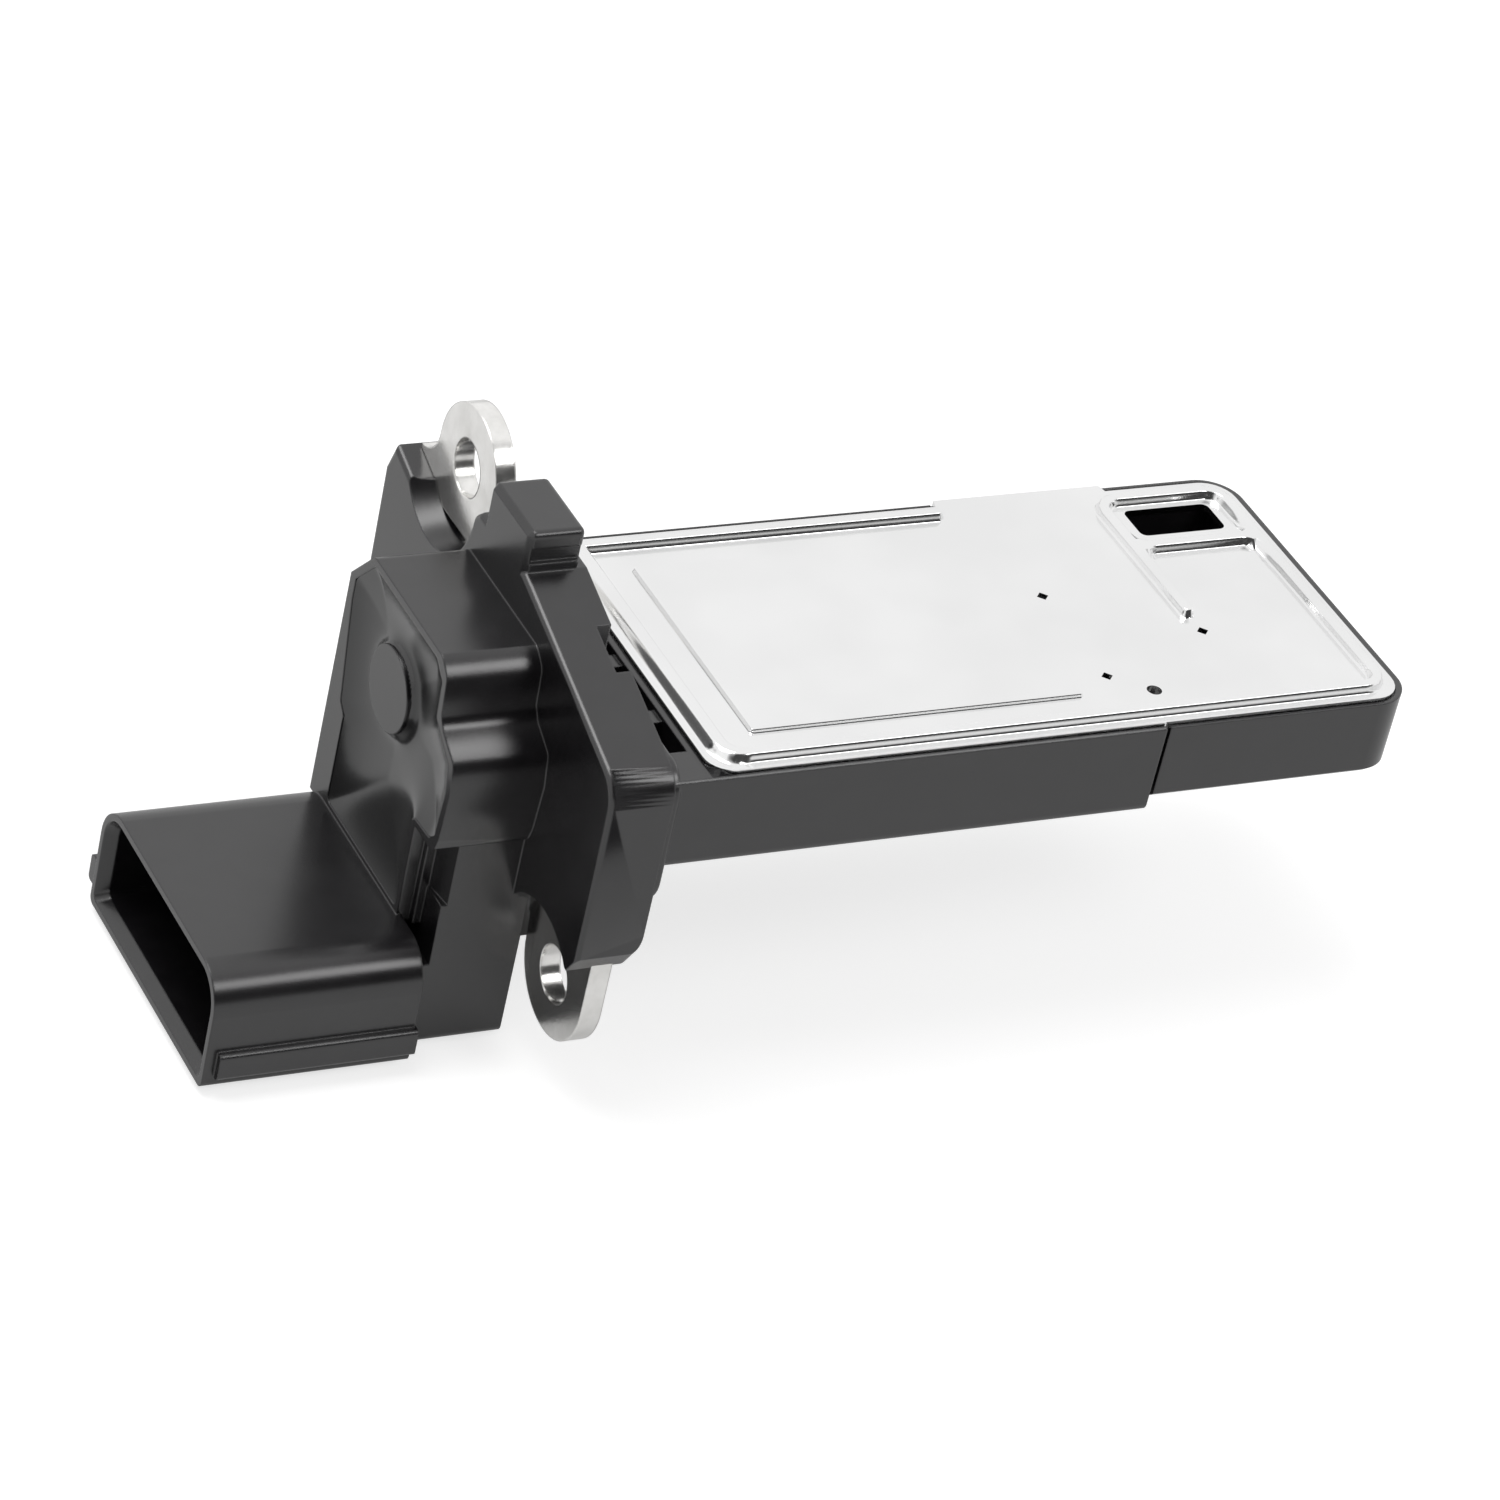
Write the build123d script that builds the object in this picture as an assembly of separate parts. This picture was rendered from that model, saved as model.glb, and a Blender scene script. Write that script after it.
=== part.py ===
from build123d import *
import os

os.makedirs("parts", exist_ok=True)

# Mass airflow sensor. All lengths in millimetres.
# Origin: midway between the two screw holes, on the seating face of the ears.
# +X runs along the probe to its tip, +Y to the far side, +Z out of the metal base plate.

# Flange and its metal insert
EAR_Y, EAR_Z = 13.8, 13.1          # one screw hole; the other is opposite through the origin
EAR_R = 4.95
EAR_FLARE = 7.4                    # where the upper ear's outer edge runs into the flange, from its hole
EAR_WEB = 2.6                      # radius of the hollow there
HOLE_R = 2.25
EAR_T = 1.67
BAND_W = 17.0                      # width of the strip that joins the ears
BAND_TURN = 43.5                   # its slant, in degrees
BAND_Y, BAND_Z = 17.0, 11.2        # how far the strip reaches inside the flange
SCALLOP_R = 6.25                   # room for the screw head in the plastic round each ear
SCALLOP_FOOT = 5.7                 # the same at the ear's own face
FL_X0, FL_X1 = -3.67, 1.45         # front and rear face of the moulded flange
FL_EDGE = 0.45                     # radius of the flange's front edges
FL_R = 2.5                         # radius of its upper near corner
NOTCH_Y0, NOTCH_Y1, NOTCH_X = -10.0, -5.95, 0.26   # cut-back in the rear of the slanted top
FL_NEAR, FL_FAR = -19.7, 22.2
TAB_Y0, TAB_Y1, TAB_Z, TAB_X1 = -0.9, 6.2, 17.2, 0.8

# Locating spigot that enters the duct's slot
SPIG_W, SPIG_Z0, SPIG_Z1, SPIG_X1 = 31.8, -6.5, 5.72, 4.33
SPIG_R = 2.4

# Potting box in front of the flange
BOX_X0 = -11.2
POT_FLOOR = -5.2                   # depth of the pocket
POT_X = -11.0                      # level of the potting at the rim
POT_DIP = 0.9                      # how far it sinks in the middle
BOSS_Y, BOSS_Z, BOSS_R = 2.2, 2.3, 3.35
BOSS_X = -11.0                     # front of the round boss
STEP_X1, STEP_Y1 = -10.1, -6.1     # stepped corner below the bulges
STEP_X2, STEP_Y2 = -9.3, -6.6
COL_X0 = -8.9                      # front of the column behind the steps

# Connector
CON_X0 = -27.3
CON_W = 23.0
CON_Z0, CON_Z1 = -21.7, -12.1
CON_WALL = 1.05
CON_FLOOR = -12.4
CON_X1 = -10.85                    # rear end of the full-width shroud
CON_R, CON_FOOT_R = 3.2, 0.6       # its upper and lower corners
CON_LEAD = 0.5                     # bevel inside the mouth
CON_WING, FAR_WING = 0.6, 1.5       # how far the near and the far wing stand out
CON_WING_Z0, CON_WING_Z1 = -20.7, -18.4
LOW_Y0, LOW_Y1 = -9.1, 10.6        # connector root below the box
LOW_X0, LOW_X1 = -9.4, -2.3
LOW_Z = -22.2

# Probe frame
PR_NEAR, PR_FAR = -15.6, 15.4
PR_TOP = 4.57                      # bed of the metal plate
PR_BOT, TIP_BOT = -3.03, -1.73
SPLIT_X = 45.0
SPLIT_GAP = 0.3
PR_TIP = 67.15
TIP_R = 3.1
LIP_W, LIP_H = 0.28, 0.22          # thin lip that guards the plate's edge

# Metal base plate
PL_X0, PL_X1 = 7.0, 66.35
PL_Y0, PL_Y1 = -15.2, 15.04
PL_T = 0.5
PL_R = 2.4
BEAD_H = 0.8
BEAD_W = 1.4
PAD_X0, PAD_X1, PAD_Y0, PAD_Y1, PAD_H = 11.8, 40.0, -11.2, 10.1, 0.25
OUT_X0, OUT_X1 = 40.3, 55.6        # stretch where the plate runs out over the intake
WIN_X0, WIN_X1, WIN_Y0, WIN_Y1 = 55.6, 63.3, 8.2, 11.7
PIN_X, PIN_Y, PIN_R = 46.1, -11.2, 0.6               # round locating hole
VENTS, VENT_W = ((43.2, 1.8), (43.2, -8.9), (54.0, -4.6)), 0.6   # small square holes

# Core-outs in the frame's top, between the spigot and the plate
CORE_X0, CORE_X1, CORE_Y, CORE_Z = 4.6, 6.3, 12.0, 1.9
CORE_RIB, CORE_RIB_Y = 1.5, 7.1

# Circuit chamber and air passage
CH_X0, CH_X1, CH_Y0, CH_Y1 = 12.0, SPLIT_X - 2.0, -12.4, 12.0
COVER_T = 1.2
FIT = 0.1                          # clearance all round a loose-fitting piece
GLUE_T = 0.2
BOARD_T = 0.8
PAS_Z0 = -0.4                      # floor of the air passage
RIB_X0, RIB_X1, RIB_Y0 = 53.1, 54.7, -3.0

# Terminals
N_TERM = 5
PITCH = 3.4
TERM_W, TERM_T = 1.5, 0.64
TERM_TIP = -20.0
TERM_Z = -16.9                     # height of the row in the connector
TERM_X = -6.9                      # where the strips turn upward
TERM_TOP = 0.6                     # height of their run through the flange
TERM_UP = 12.3                     # where they turn up to the board
TERM_PAD = PR_TOP - GLUE_T - BOARD_T + TERM_T   # the pads end level with the board's face
TERM_END = 14.2
BOARD_X0, BOARD_X1 = 15.2, 40.0
WIRE_W, WIRE_T, WIRE_RISE = 0.4, 0.15, 0.6
WIRE_END = 1.8                     # how far the wires reach over the board
CHIP_X, CHIP_Y, CHIP_L, CHIP_T = 26.5, -1.0, 7.0, 1.1
CAP_X, CAP_Y0, CAP_PITCH = 18.0, -6.5, 3.2
CAP_L, CAP_W, CAP_T = 1.25, 2.0, 0.9
RES_X0, RES_Y0, RES_PITCH_X, RES_PITCH_Y = 33.5, -6.0, 2.4, 3.5
RES_L, RES_W, RES_T = 0.85, 1.6, 0.5
CARRIER_W, CARRIER_T, CARRIER_END = 7.2, 1.5, 0.6   # it ends this far short of the passage's rib
FLOW_L, FLOW_T, FLOW_X = 3.2, 0.35, 1.7             # sensing chip, and its distance from the rib
SEAL_W, SEAL_T = 0.8, 0.3          # bead of sealant in a groove round the chamber


def box(x0, x1, y0, y1, z0, z1):
    """Block from its six limits."""
    b = Box(x1 - x0, y1 - y0, z1 - z0)
    return Pos((x0 + x1) / 2, (y0 + y1) / 2, (z0 + z1) / 2) * b


def prism_x(points, x0, x1):
    """Profile drawn in (Y, Z), run from x0 to x1."""
    face = make_face(Polyline(*points, close=True))
    return extrude(Plane.YZ.offset(x0) * face, x1 - x0)


def prism_z(points, z0, z1):
    """Profile drawn in (X, Y), run from z0 to z1."""
    face = make_face(Polyline(*points, close=True))
    return extrude(Plane.XY.offset(z0) * face, z1 - z0)


def rod_x(y, z, r, x0, x1):
    """Round rod along X."""
    return extrude(Plane.YZ.offset(x0) * Pos(y, z) * Circle(r), x1 - x0)


def edges_at_x(solid, x, tol=0.01):
    """Edges that lie in the plane at x."""
    return [e for e in solid.edges()
            if abs(e.bounding_box().min.X - x) < tol and abs(e.bounding_box().max.X - x) < tol]


def insert_plate():
    """Metal strip with an ear at each end and a window for the terminals."""
    reach = (EAR_Y ** 2 + EAR_Z ** 2) ** 0.5
    strip = Rot(0, 0, BAND_TURN) * Rectangle(2 * reach - 2 * EAR_R, BAND_W)
    sk = strip & Rectangle(2 * BAND_Y, 2 * BAND_Z)
    y, z, r = EAR_Y, EAR_Z, EAR_R
    foot = z - BAND_Z + 3.2            # the ears reach this far into the strip
    ear = make_face(Polyline((y + r, z), (y + r, z - foot), (y - 5.3, z - foot), (y - 5.3, z - 3.5),
                             (y - 0.97 * r, z + 0.25 * r), close=True))
    ear += Pos(y, z) * Circle(r)
    web = Pos(y + EAR_FLARE / 2, z - foot / 2) * Rectangle(EAR_FLARE, foot)
    web -= Pos(y + r + EAR_WEB, z) * Circle(EAR_WEB)
    sk += ear + web + Rot(0, 0, 180) * ear
    slot_z = TERM_TOP - TERM_T / 2
    sk -= Pos(0, slot_z) * RectangleRounded(N_TERM * PITCH + 1.6, TERM_T + 2.4, 0.8)
    return extrude(Plane.YZ.offset(-EAR_T) * sk, EAR_T)


def mounting_plate():
    p = insert_plate()
    for s in (1, -1):
        p -= rod_x(s * EAR_Y, s * EAR_Z, HOLE_R, -EAR_T - 1, 1)
    return p


def flange():
    """Moulded flange: slanted top and foot, sunk round both ears, with the tab on top."""
    slope = (13.84 - 8.65) / (17.8 - 0.86)
    top = [(FL_NEAR, 8.65 - slope * (-FL_NEAR - 17.8)), (-0.86, 13.84), (7.0, 13.84),
           (9.0, 12.0), (18.4, 9.25), (FL_FAR - 0.6, 10.25), (FL_FAR + 0.4, 7.8),
           (FL_FAR, -6.9), (17.8, -8.65), (0.86, -13.84),
           (-8.0, -13.84), (-18.0, -12.0), (FL_NEAR, -7.8)]
    fl = prism_x(top, FL_X0, FL_X1)
    long_edges = fl.edges().filter_by(Axis.X)
    fl = fillet([e for e in long_edges if abs(e.center().Y - FL_NEAR) < 0.05 and e.center().Z > 0],
                FL_R)
    fl = fillet(edges_at_x(fl, FL_X0), FL_EDGE)
    for s in (1, -1):
        at = Pos(s * EAR_Y, s * EAR_Z)
        fl -= loft([Plane.YZ.offset(FL_X0 - 0.01) * at * Circle(SCALLOP_R),
                    Plane.YZ.offset(-EAR_T) * at * Circle(SCALLOP_FOOT)])
        fl -= rod_x(s * EAR_Y, s * EAR_Z, SCALLOP_FOOT, -EAR_T - 0.01, FL_X1 + 1)
        fl -= rod_x(s * EAR_Y, s * EAR_Z, SCALLOP_R, FL_X0 - 1, FL_X0)
    fl -= prism_x([(-EAR_Y - 9, -EAR_Z - 9), (-EAR_Y + 5, -EAR_Z - 9), (-EAR_Y + 4.6, -EAR_Z + 3.2),
                   (-EAR_Y, -EAR_Z + 5.2), (-EAR_Y - 4.8, -EAR_Z + 4.3), (-EAR_Y - 9, -EAR_Z + 10.9)],
                  FL_X0 - 1, FL_X1 + 1)
    fl -= prism_x([(EAR_Y - 5, EAR_Z + 9), (EAR_Y + 5.4, EAR_Z + 9), (EAR_Y + 5.2, EAR_Z - 2.6),
                   (EAR_Y, EAR_Z - 5.2), (EAR_Y - 4.6, EAR_Z - 3.2)], FL_X0 - 1, FL_X1 + 1)
    fl = fl.solids().sort_by(SortBy.VOLUME)[-1]
    heel = [e for e in edges_at_x(fl, FL_X1) if e.center().Y < -EAR_Y - EAR_R and e.center().Z < -7]
    fl = fillet(heel, 0.8)
    fl -= box(0, FL_X1 + 1, EAR_Y + 1.2, FL_FAR + 3, 8.4, EAR_Z)
    fl -= box(NOTCH_X, FL_X1 + 1, NOTCH_Y0, NOTCH_Y1, SPIG_Z1 + 1.5, 20)
    tab = box(FL_X0, TAB_X1, TAB_Y0, TAB_Y1, 10.0, TAB_Z)
    tab = fillet(tab.edges().filter_by(Axis.X).sort_by(Axis.Z)[-2:], 0.5)
    tab = chamfer(edges_at_x(tab.faces().sort_by(Axis.Z)[-1], FL_X0), 0.45)
    tab = fillet(edges_at_x(tab.faces().sort_by(Axis.Z)[-1], TAB_X1), 0.4)
    tab -= box(FL_X0 + 0.4, TAB_X1 + 1, TAB_Y0 - 1, TAB_Y0 + 0.4, 14.55, 15.85)
    tab -= rod_x(EAR_Y, EAR_Z, SCALLOP_R, FL_X0 - 1, FL_X1 + 1)
    return fl + tab


def spigot():
    h = SPIG_Z1 - SPIG_Z0
    sk = Pos(0, (SPIG_Z0 + SPIG_Z1) / 2) * RectangleRounded(SPIG_W, h, SPIG_R)
    s = extrude(Plane.YZ.offset(FL_X1 - 0.5) * sk, SPIG_X1 - FL_X1 + 0.5)
    return fillet(edges_at_x(s, SPIG_X1), 0.3)


BOX_LINE = [(-5.1, 10.35), (7.55, 10.35), (10.7, 6.9), (10.7, -4.0), (-9.4, -4.0), (-9.9, -2.5),
            (-10.25, 1.6), (-9.8, 4.1), (-7.4, 5.3), (-6.7, 6.2), (-6.4, 9.3)]
POCKET = [(7.2, 9.7), (-4.4, 9.7), (-5.8, 8.6), (-6.0, 5.6), (-9.1, 3.6), (-9.5, 1.4),
          (-9.2, -2.6), (-8.4, -3.3), (-5.5, -3.5), (-5.6, -11.7), (7.7, -11.7), (7.7, -4.0),
          (8.6, -3.2), (9.8, 5.0), (9.8, 6.9)]


def potting_box():
    """Open box that holds the sealed joints of the terminals, with two round bulges on its near side."""
    b = prism_x(BOX_LINE, BOX_X0, FL_X0 + 0.5)
    b = fillet(b.edges().filter_by(Axis.X).sort_by(Axis.Y)[:-2], 0.8)
    low = [(BOX_X0, 10.7), (BOX_X0, STEP_Y1), (STEP_X1, STEP_Y1), (STEP_X1, STEP_Y2),
           (STEP_X2, STEP_Y2), (COL_X0, LOW_Y0), (FL_X0 + 0.5, LOW_Y0), (FL_X0 + 0.5, 10.7)]
    return b + prism_z(low, CON_Z1 - 0.6, -3.2)


def pocket(x0=BOX_X0 - 1, x1=POT_FLOOR):
    p = prism_x(POCKET, x0, x1)
    return fillet(p.edges().filter_by(Axis.X), 0.5)


def connector_root():
    """Column under the box and the block that carries the plug shroud."""
    col = box(COL_X0, FL_X0 + 0.5, LOW_Y0, LOW_Y1, -13.0, -3.2)
    low = box(LOW_X0, LOW_X1, LOW_Y0, LOW_Y1, LOW_Z, -9.3)
    low = fillet(low.edges().filter_by(Axis.X).group_by(Axis.Z)[0], 0.8)
    return col + low


def shroud_outline(inset=0.0):
    """D-shaped section of the shroud, or a smaller one inside it."""
    x, z0, z1 = CON_W / 2 - inset, CON_Z0 + inset, CON_Z1 - inset
    sk = Pos(0, (z0 + z1) / 2) * Rectangle(2 * x, z1 - z0)
    sk = fillet(sk.vertices().group_by(Axis.Y)[-1], CON_R - inset)
    return fillet(sk.vertices().group_by(Axis.Y)[0], CON_FOOT_R)


def shroud():
    """Plug shroud: a D-shaped tube with a wing along each lower edge."""
    wing = Pos((FAR_WING - CON_WING) / 2, (CON_WING_Z0 + CON_WING_Z1) / 2) * \
        Rectangle(CON_W + CON_WING + FAR_WING, CON_WING_Z1 - CON_WING_Z0)
    tube = extrude(Plane.YZ.offset(CON_X0) * shroud_outline(), CON_X1 - CON_X0)
    ledge = extrude(Plane.YZ.offset(CON_X0 + 0.3) * wing, CON_X1 - CON_X0 - 0.2)
    ledge -= box(CON_X0, CON_X0 + 0.9, -CON_W, 0, CON_Z0, CON_Z1)
    ledge = fillet(ledge.edges().filter_by(Axis.X), 0.4)
    neck = box(CON_X1 - 1.0, LOW_X0 + 1.0, LOW_Y0, LOW_Y1, LOW_Z + 0.6, CON_Z1 - CON_R + 0.6)
    return tube + ledge + neck


def shroud_bore():
    bore = extrude(Plane.YZ.offset(CON_X0 - 1) * shroud_outline(CON_WALL), CON_FLOOR - CON_X0 + 1)
    lead = loft([Plane.YZ.offset(CON_X0 - 0.01) * shroud_outline(CON_WALL - CON_LEAD),
                 Plane.YZ.offset(CON_X0 + 1.0) * shroud_outline(CON_WALL)])
    return bore + lead


def terminal_path(i):
    y = (i - (N_TERM - 1) / 2) * PITCH
    w, t = TERM_W, TERM_T
    blade = box(TERM_TIP, TERM_X + t, y - w / 2, y + w / 2, TERM_Z - t / 2, TERM_Z + t / 2)
    nose = blade.edges().filter_by(Axis.Y).group_by(Axis.X)[0]
    blade = chamfer(nose, t * 0.3)
    rise = box(TERM_X, TERM_X + t, y - w / 2, y + w / 2, TERM_Z - t / 2, TERM_TOP)
    run = box(TERM_X, TERM_UP + t, y - w / 2, y + w / 2, TERM_TOP - t, TERM_TOP)
    turn = box(TERM_UP, TERM_UP + t, y - w / 2, y + w / 2, TERM_TOP - t, TERM_PAD)
    pad = box(TERM_UP, TERM_END, y - w / 2, y + w / 2, TERM_PAD - t, TERM_PAD)
    return blade + rise + run + turn + pad


def probe_frame():
    """Frame from the spigot to the split line, with the chamber for the circuit."""
    fr = box(FL_X1, SPLIT_X, PR_NEAR, PR_FAR, PR_BOT, PR_TOP + LIP_H)
    low = fr.edges().filter_by(Axis.X).group_by(Axis.Z)[0]
    fr = fillet(low, 0.8)
    fr = chamfer(fr.edges().filter_by(Axis.X).group_by(Axis.Z)[-1], 0.15)
    return fr


def plate_bed(x1):
    """Room for the metal plate above its bed."""
    face = Pos((PL_X0 - FIT + x1) / 2, 0) * Rectangle(x1 - PL_X0 + FIT,
                                                      PR_FAR - PR_NEAR - 2 * LIP_W)
    yc = (PR_FAR + PR_NEAR) / 2
    return extrude(Plane.XY.offset(PR_TOP) * Pos(0, yc) * face, 3)


def chamber():
    c = box(CH_X0, CH_X1, CH_Y0, CH_Y1, PR_BOT - 1, PR_TOP)
    c = fillet(c.edges().filter_by(Axis.Z), 1.0)
    step = box(CH_X0 - 2.2, SPLIT_X - 0.9, CH_Y0 - 1.4, CH_Y1 + 1.4, PR_BOT - 1, PR_BOT + COVER_T)
    step = fillet(step.edges().filter_by(Axis.Z), 1.6)
    return c + step


def core_outs():
    """Pockets beside the spigot that keep the moulding's walls even."""
    c = box(CORE_X0, CORE_X1, -CORE_Y, CORE_Y, CORE_Z, PR_TOP + 2)
    for y in (-CORE_RIB_Y, 0, CORE_RIB_Y):
        c -= box(CORE_X0 - 1, CORE_X1 + 1, y - CORE_RIB / 2, y + CORE_RIB / 2, 0, PR_TOP - 0.1)
    return c


def sensor_body():
    """One moulding: flange, spigot, potting box, plug shroud and probe frame."""
    b = flange() + spigot() + potting_box() + connector_root() + shroud() + probe_frame()
    b -= plate_bed(SPLIT_X + 1)
    b -= chamber()
    b -= pocket() - rod_x(BOSS_Y, BOSS_Z, BOSS_R, BOSS_X, POT_FLOOR + 1)
    b -= core_outs()
    b -= shroud_bore()
    b -= insert_plate()
    b -= box(OUT_X0 - FIT, SPLIT_X + 1, PL_Y1, PR_FAR + 1, PR_TOP, PR_TOP + 3)
    for i in range(N_TERM):
        b -= terminal_path(i)
    # slot for the passage's inner end and the tongue of the tip housing
    b -= box(CH_X1 - 0.5, SPLIT_X + 1, -9.0, 9.0, PR_BOT + COVER_T + 0.6, PR_TOP + 1)
    b -= sealant_ring()
    return b


def sealant_ring():
    """Bead of sealant round the chamber, open where the carrier passes."""
    m, w = 1.4, SEAL_W
    ring = box(CH_X0 - m, CH_X1 + m, CH_Y0 - m, CH_Y1 + m, PR_TOP - SEAL_T, PR_TOP)
    ring -= box(CH_X0 - m + w, CH_X1 + m - w, CH_Y0 - m + w, CH_Y1 + m - w, 0, PR_TOP + 1)
    return ring - box(CH_X1 - 1, SPLIT_X, -9.0 - FIT, 9.0 + FIT, 0, PR_TOP + 1)


def bypass_housing():
    """Tip housing with the looped air passage; the metal plate closes it on top."""
    x0 = SPLIT_X + SPLIT_GAP
    t = box(x0, PR_TIP, PR_NEAR, PR_FAR, TIP_BOT, PR_TOP + LIP_H)
    t = fillet(t.edges().filter_by(Axis.Z).group_by(Axis.X)[-1], TIP_R)
    t = chamfer(t.faces().sort_by(Axis.Z)[0].edges().sort_by(Axis.X)[-1], 0.4)
    bed = box(x0 - 1, PL_X1 + FIT, PR_NEAR + LIP_W, PR_FAR - LIP_W, PR_TOP, PR_TOP + 3)
    bed = fillet(bed.edges().filter_by(Axis.Z).group_by(Axis.X)[-1], PL_R + 0.1)
    t -= bed
    t -= box(OUT_X0, OUT_X1, PL_Y1, PR_FAR + 1, PR_TOP, PR_TOP + 3)
    # intake channel, turn and outlet channel
    intake = box(x0 + 1.4, RIB_X0, -9.0, PR_FAR + 1, PAS_Z0, PR_TOP + 1)
    turn = box(x0 + 1.4, PR_TIP - 3.0, -12.6, RIB_Y0 - 0.5, PAS_Z0, PR_TOP + 1)
    turn = fillet(turn.edges().filter_by(Axis.Z).group_by(Axis.Y)[0], 4.0)
    outlet = box(RIB_X1 + 0.3, PR_TIP - 3.0, -9.0, WIN_Y1 + 0.3, PAS_Z0, PR_TOP + 1)
    t -= intake + turn + outlet
    t -= box(x0 - 1, x0 + 2, -5.0, 5.0, 1.2, PR_TOP + 1)
    tongue = box(SPLIT_X - 1.4, x0 + 0.5, -8.6, -5.6, PR_BOT + COVER_T + 0.9, PR_TOP - 0.1)
    tongue += box(SPLIT_X - 1.4, x0 + 0.5, 5.6, 8.6, PR_BOT + COVER_T + 0.9, PR_TOP - 0.1)
    return t + tongue


def bead(points):
    """Pressed bead along a line of points, with sloping sides."""
    out = None
    for (xa, ya), (xb, yb) in zip(points[:-1], points[1:]):
        x0, x1 = sorted((xa, xb))
        y0, y1 = sorted((ya, yb))
        at = Pos((x0 + x1) / 2, (y0 + y1) / 2, PR_TOP + 0.1)
        foot = Rectangle(x1 - x0 + BEAD_W, y1 - y0 + BEAD_W)
        crown = Rectangle(x1 - x0 + BEAD_W - 0.25, y1 - y0 + BEAD_W - 0.25)
        seg = loft([at * foot, at * Pos(0, 0, PL_T + BEAD_H - 0.1) * crown])
        out = seg if out is None else out + seg
    return out


def bead_lines():
    """Centre lines of the pressed beads."""
    e = BEAD_W / 2
    near, far, left, tip = -14.6 + e, 12.5 + e, 7.95 + e, 64.3 + e
    return [[(left, far), (left, near), (tip, near), (tip, 12.2 + e)],
            [(left, far), (OUT_X0 - e, far)],
            [(RIB_X0 + e, RIB_Y0 + e), (RIB_X0 + e, 12.2 + e), (tip, 12.2 + e)],
            [(RIB_X0 + e, 5.65 + e), (tip, 5.65 + e)]]


def base_plate():
    """Metal plate with rolled-up beads, the raised pad and the outlet window."""
    z0, z1 = PR_TOP, PR_TOP + PL_T
    p = box(PL_X0, PL_X1, PL_Y0, PL_Y1, z0, z1)
    p = fillet(p.edges().filter_by(Axis.Z).group_by(Axis.X)[-1], PL_R)
    p = fillet(p.edges().filter_by(Axis.Z).group_by(Axis.X)[0], PL_R - 0.4)
    p += box(OUT_X0, OUT_X1, 10, PR_FAR, z0, z1)
    for line in bead_lines():
        p += bead(line)
    pad = box(PAD_X0, PAD_X1, PAD_Y0, PAD_Y1, z0, z1 + PAD_H)
    pad = chamfer(pad.faces().sort_by(Axis.Z)[-1].edges(), 0.2)
    p += pad
    win = box(WIN_X0, WIN_X1, WIN_Y0, WIN_Y1, z0 - 1, z1 + 3)
    p -= fillet(win.edges().filter_by(Axis.Z), 0.5)
    for x, y in VENTS:
        p -= Pos(x, y, z0) * Rot(0, 0, 45) * Box(VENT_W, VENT_W, 4 * PL_T)
    return p - Pos(PIN_X, PIN_Y, z0) * Cylinder(PIN_R, 4 * PL_T)


def circuit_cover():
    """Plastic cover glued into the underside of the frame."""
    f = FIT
    c = box(CH_X0 - 2.2 + f, SPLIT_X - 0.9 - f, CH_Y0 - 1.4 + f, CH_Y1 + 1.4 - f,
            PR_BOT, PR_BOT + COVER_T)
    c = fillet(c.edges().filter_by(Axis.Z), 1.5)
    return chamfer(c.faces().sort_by(Axis.Z)[0].edges(), 0.25)


def potting():
    """Sealing compound, sunk in the middle, climbing to the rim."""
    p = pocket(POT_X, POT_FLOOR) - rod_x(BOSS_Y, BOSS_Z, BOSS_R, POT_X - 1, POT_FLOOR + 1)
    dip = POT_DIP
    rim = Pos(0.1, 3.2) * RectangleRounded(16.8, 11.6, 3.2)
    deep = Pos(0.4, 3.2) * RectangleRounded(12.0, 7.4, 3.0)
    p -= loft([Plane.YZ.offset(POT_X - 0.01) * rim, Plane.YZ.offset(POT_X + dip) * deep])
    rim = Pos(1.1, -4.9) * RectangleRounded(11.8, 12.4, 2.0)
    deep = Pos(1.1, -4.6) * RectangleRounded(8.6, 9.4, 1.8)
    p -= loft([Plane.YZ.offset(POT_X - 0.01) * rim, Plane.YZ.offset(POT_X + dip) * deep])
    for i in range(N_TERM):
        p -= terminal_path(i)
    return p


def board_top():
    return PR_TOP - GLUE_T


def circuit_board():
    z1 = board_top()
    return box(BOARD_X0, BOARD_X1, CH_Y0 + 1.6, CH_Y1 - 1.6, z1 - BOARD_T, z1)


def board_adhesive():
    return box(BOARD_X0 + 0.8, BOARD_X1 - 0.8, CH_Y0 + 2.6, CH_Y1 - 2.6, board_top(), PR_TOP)


def chip(x, y, lx, ly, h):
    z = board_top() - BOARD_T
    return box(x - lx / 2, x + lx / 2, y - ly / 2, y + ly / 2, z - h, z)


def processor():
    p = chip(CHIP_X, CHIP_Y, CHIP_L, CHIP_L, CHIP_T)
    return chamfer(p.faces().sort_by(Axis.Z)[0].edges(), 0.15)


def capacitors():
    return Compound([chip(CAP_X, CAP_Y0 + CAP_PITCH * k, CAP_L, CAP_W, CAP_T) for k in range(4)])


def resistors():
    return Compound([chip(RES_X0 + RES_PITCH_X * k, RES_Y0 + RES_PITCH_Y * n, RES_L, RES_W, RES_T)
                     for k in range(2) for n in range(4)])


def chip_carrier():
    """Ceramic-filled tongue that holds the sensing chip in the intake channel."""
    z1 = board_top()
    c = box(BOARD_X1, RIB_X0 - CARRIER_END, -CARRIER_W / 2, CARRIER_W / 2, z1 - CARRIER_T, z1)
    return c - sensing_cell(1.0)


def sensing_cell(below=0.0):
    """The sensing chip, or the recess it lies in."""
    z1 = board_top() - CARRIER_T + FLOW_T
    x1 = RIB_X0 - FLOW_X
    return box(x1 - FLOW_L, x1, -FLOW_L / 2, FLOW_L / 2, z1 - FLOW_T - below, z1)


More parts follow.
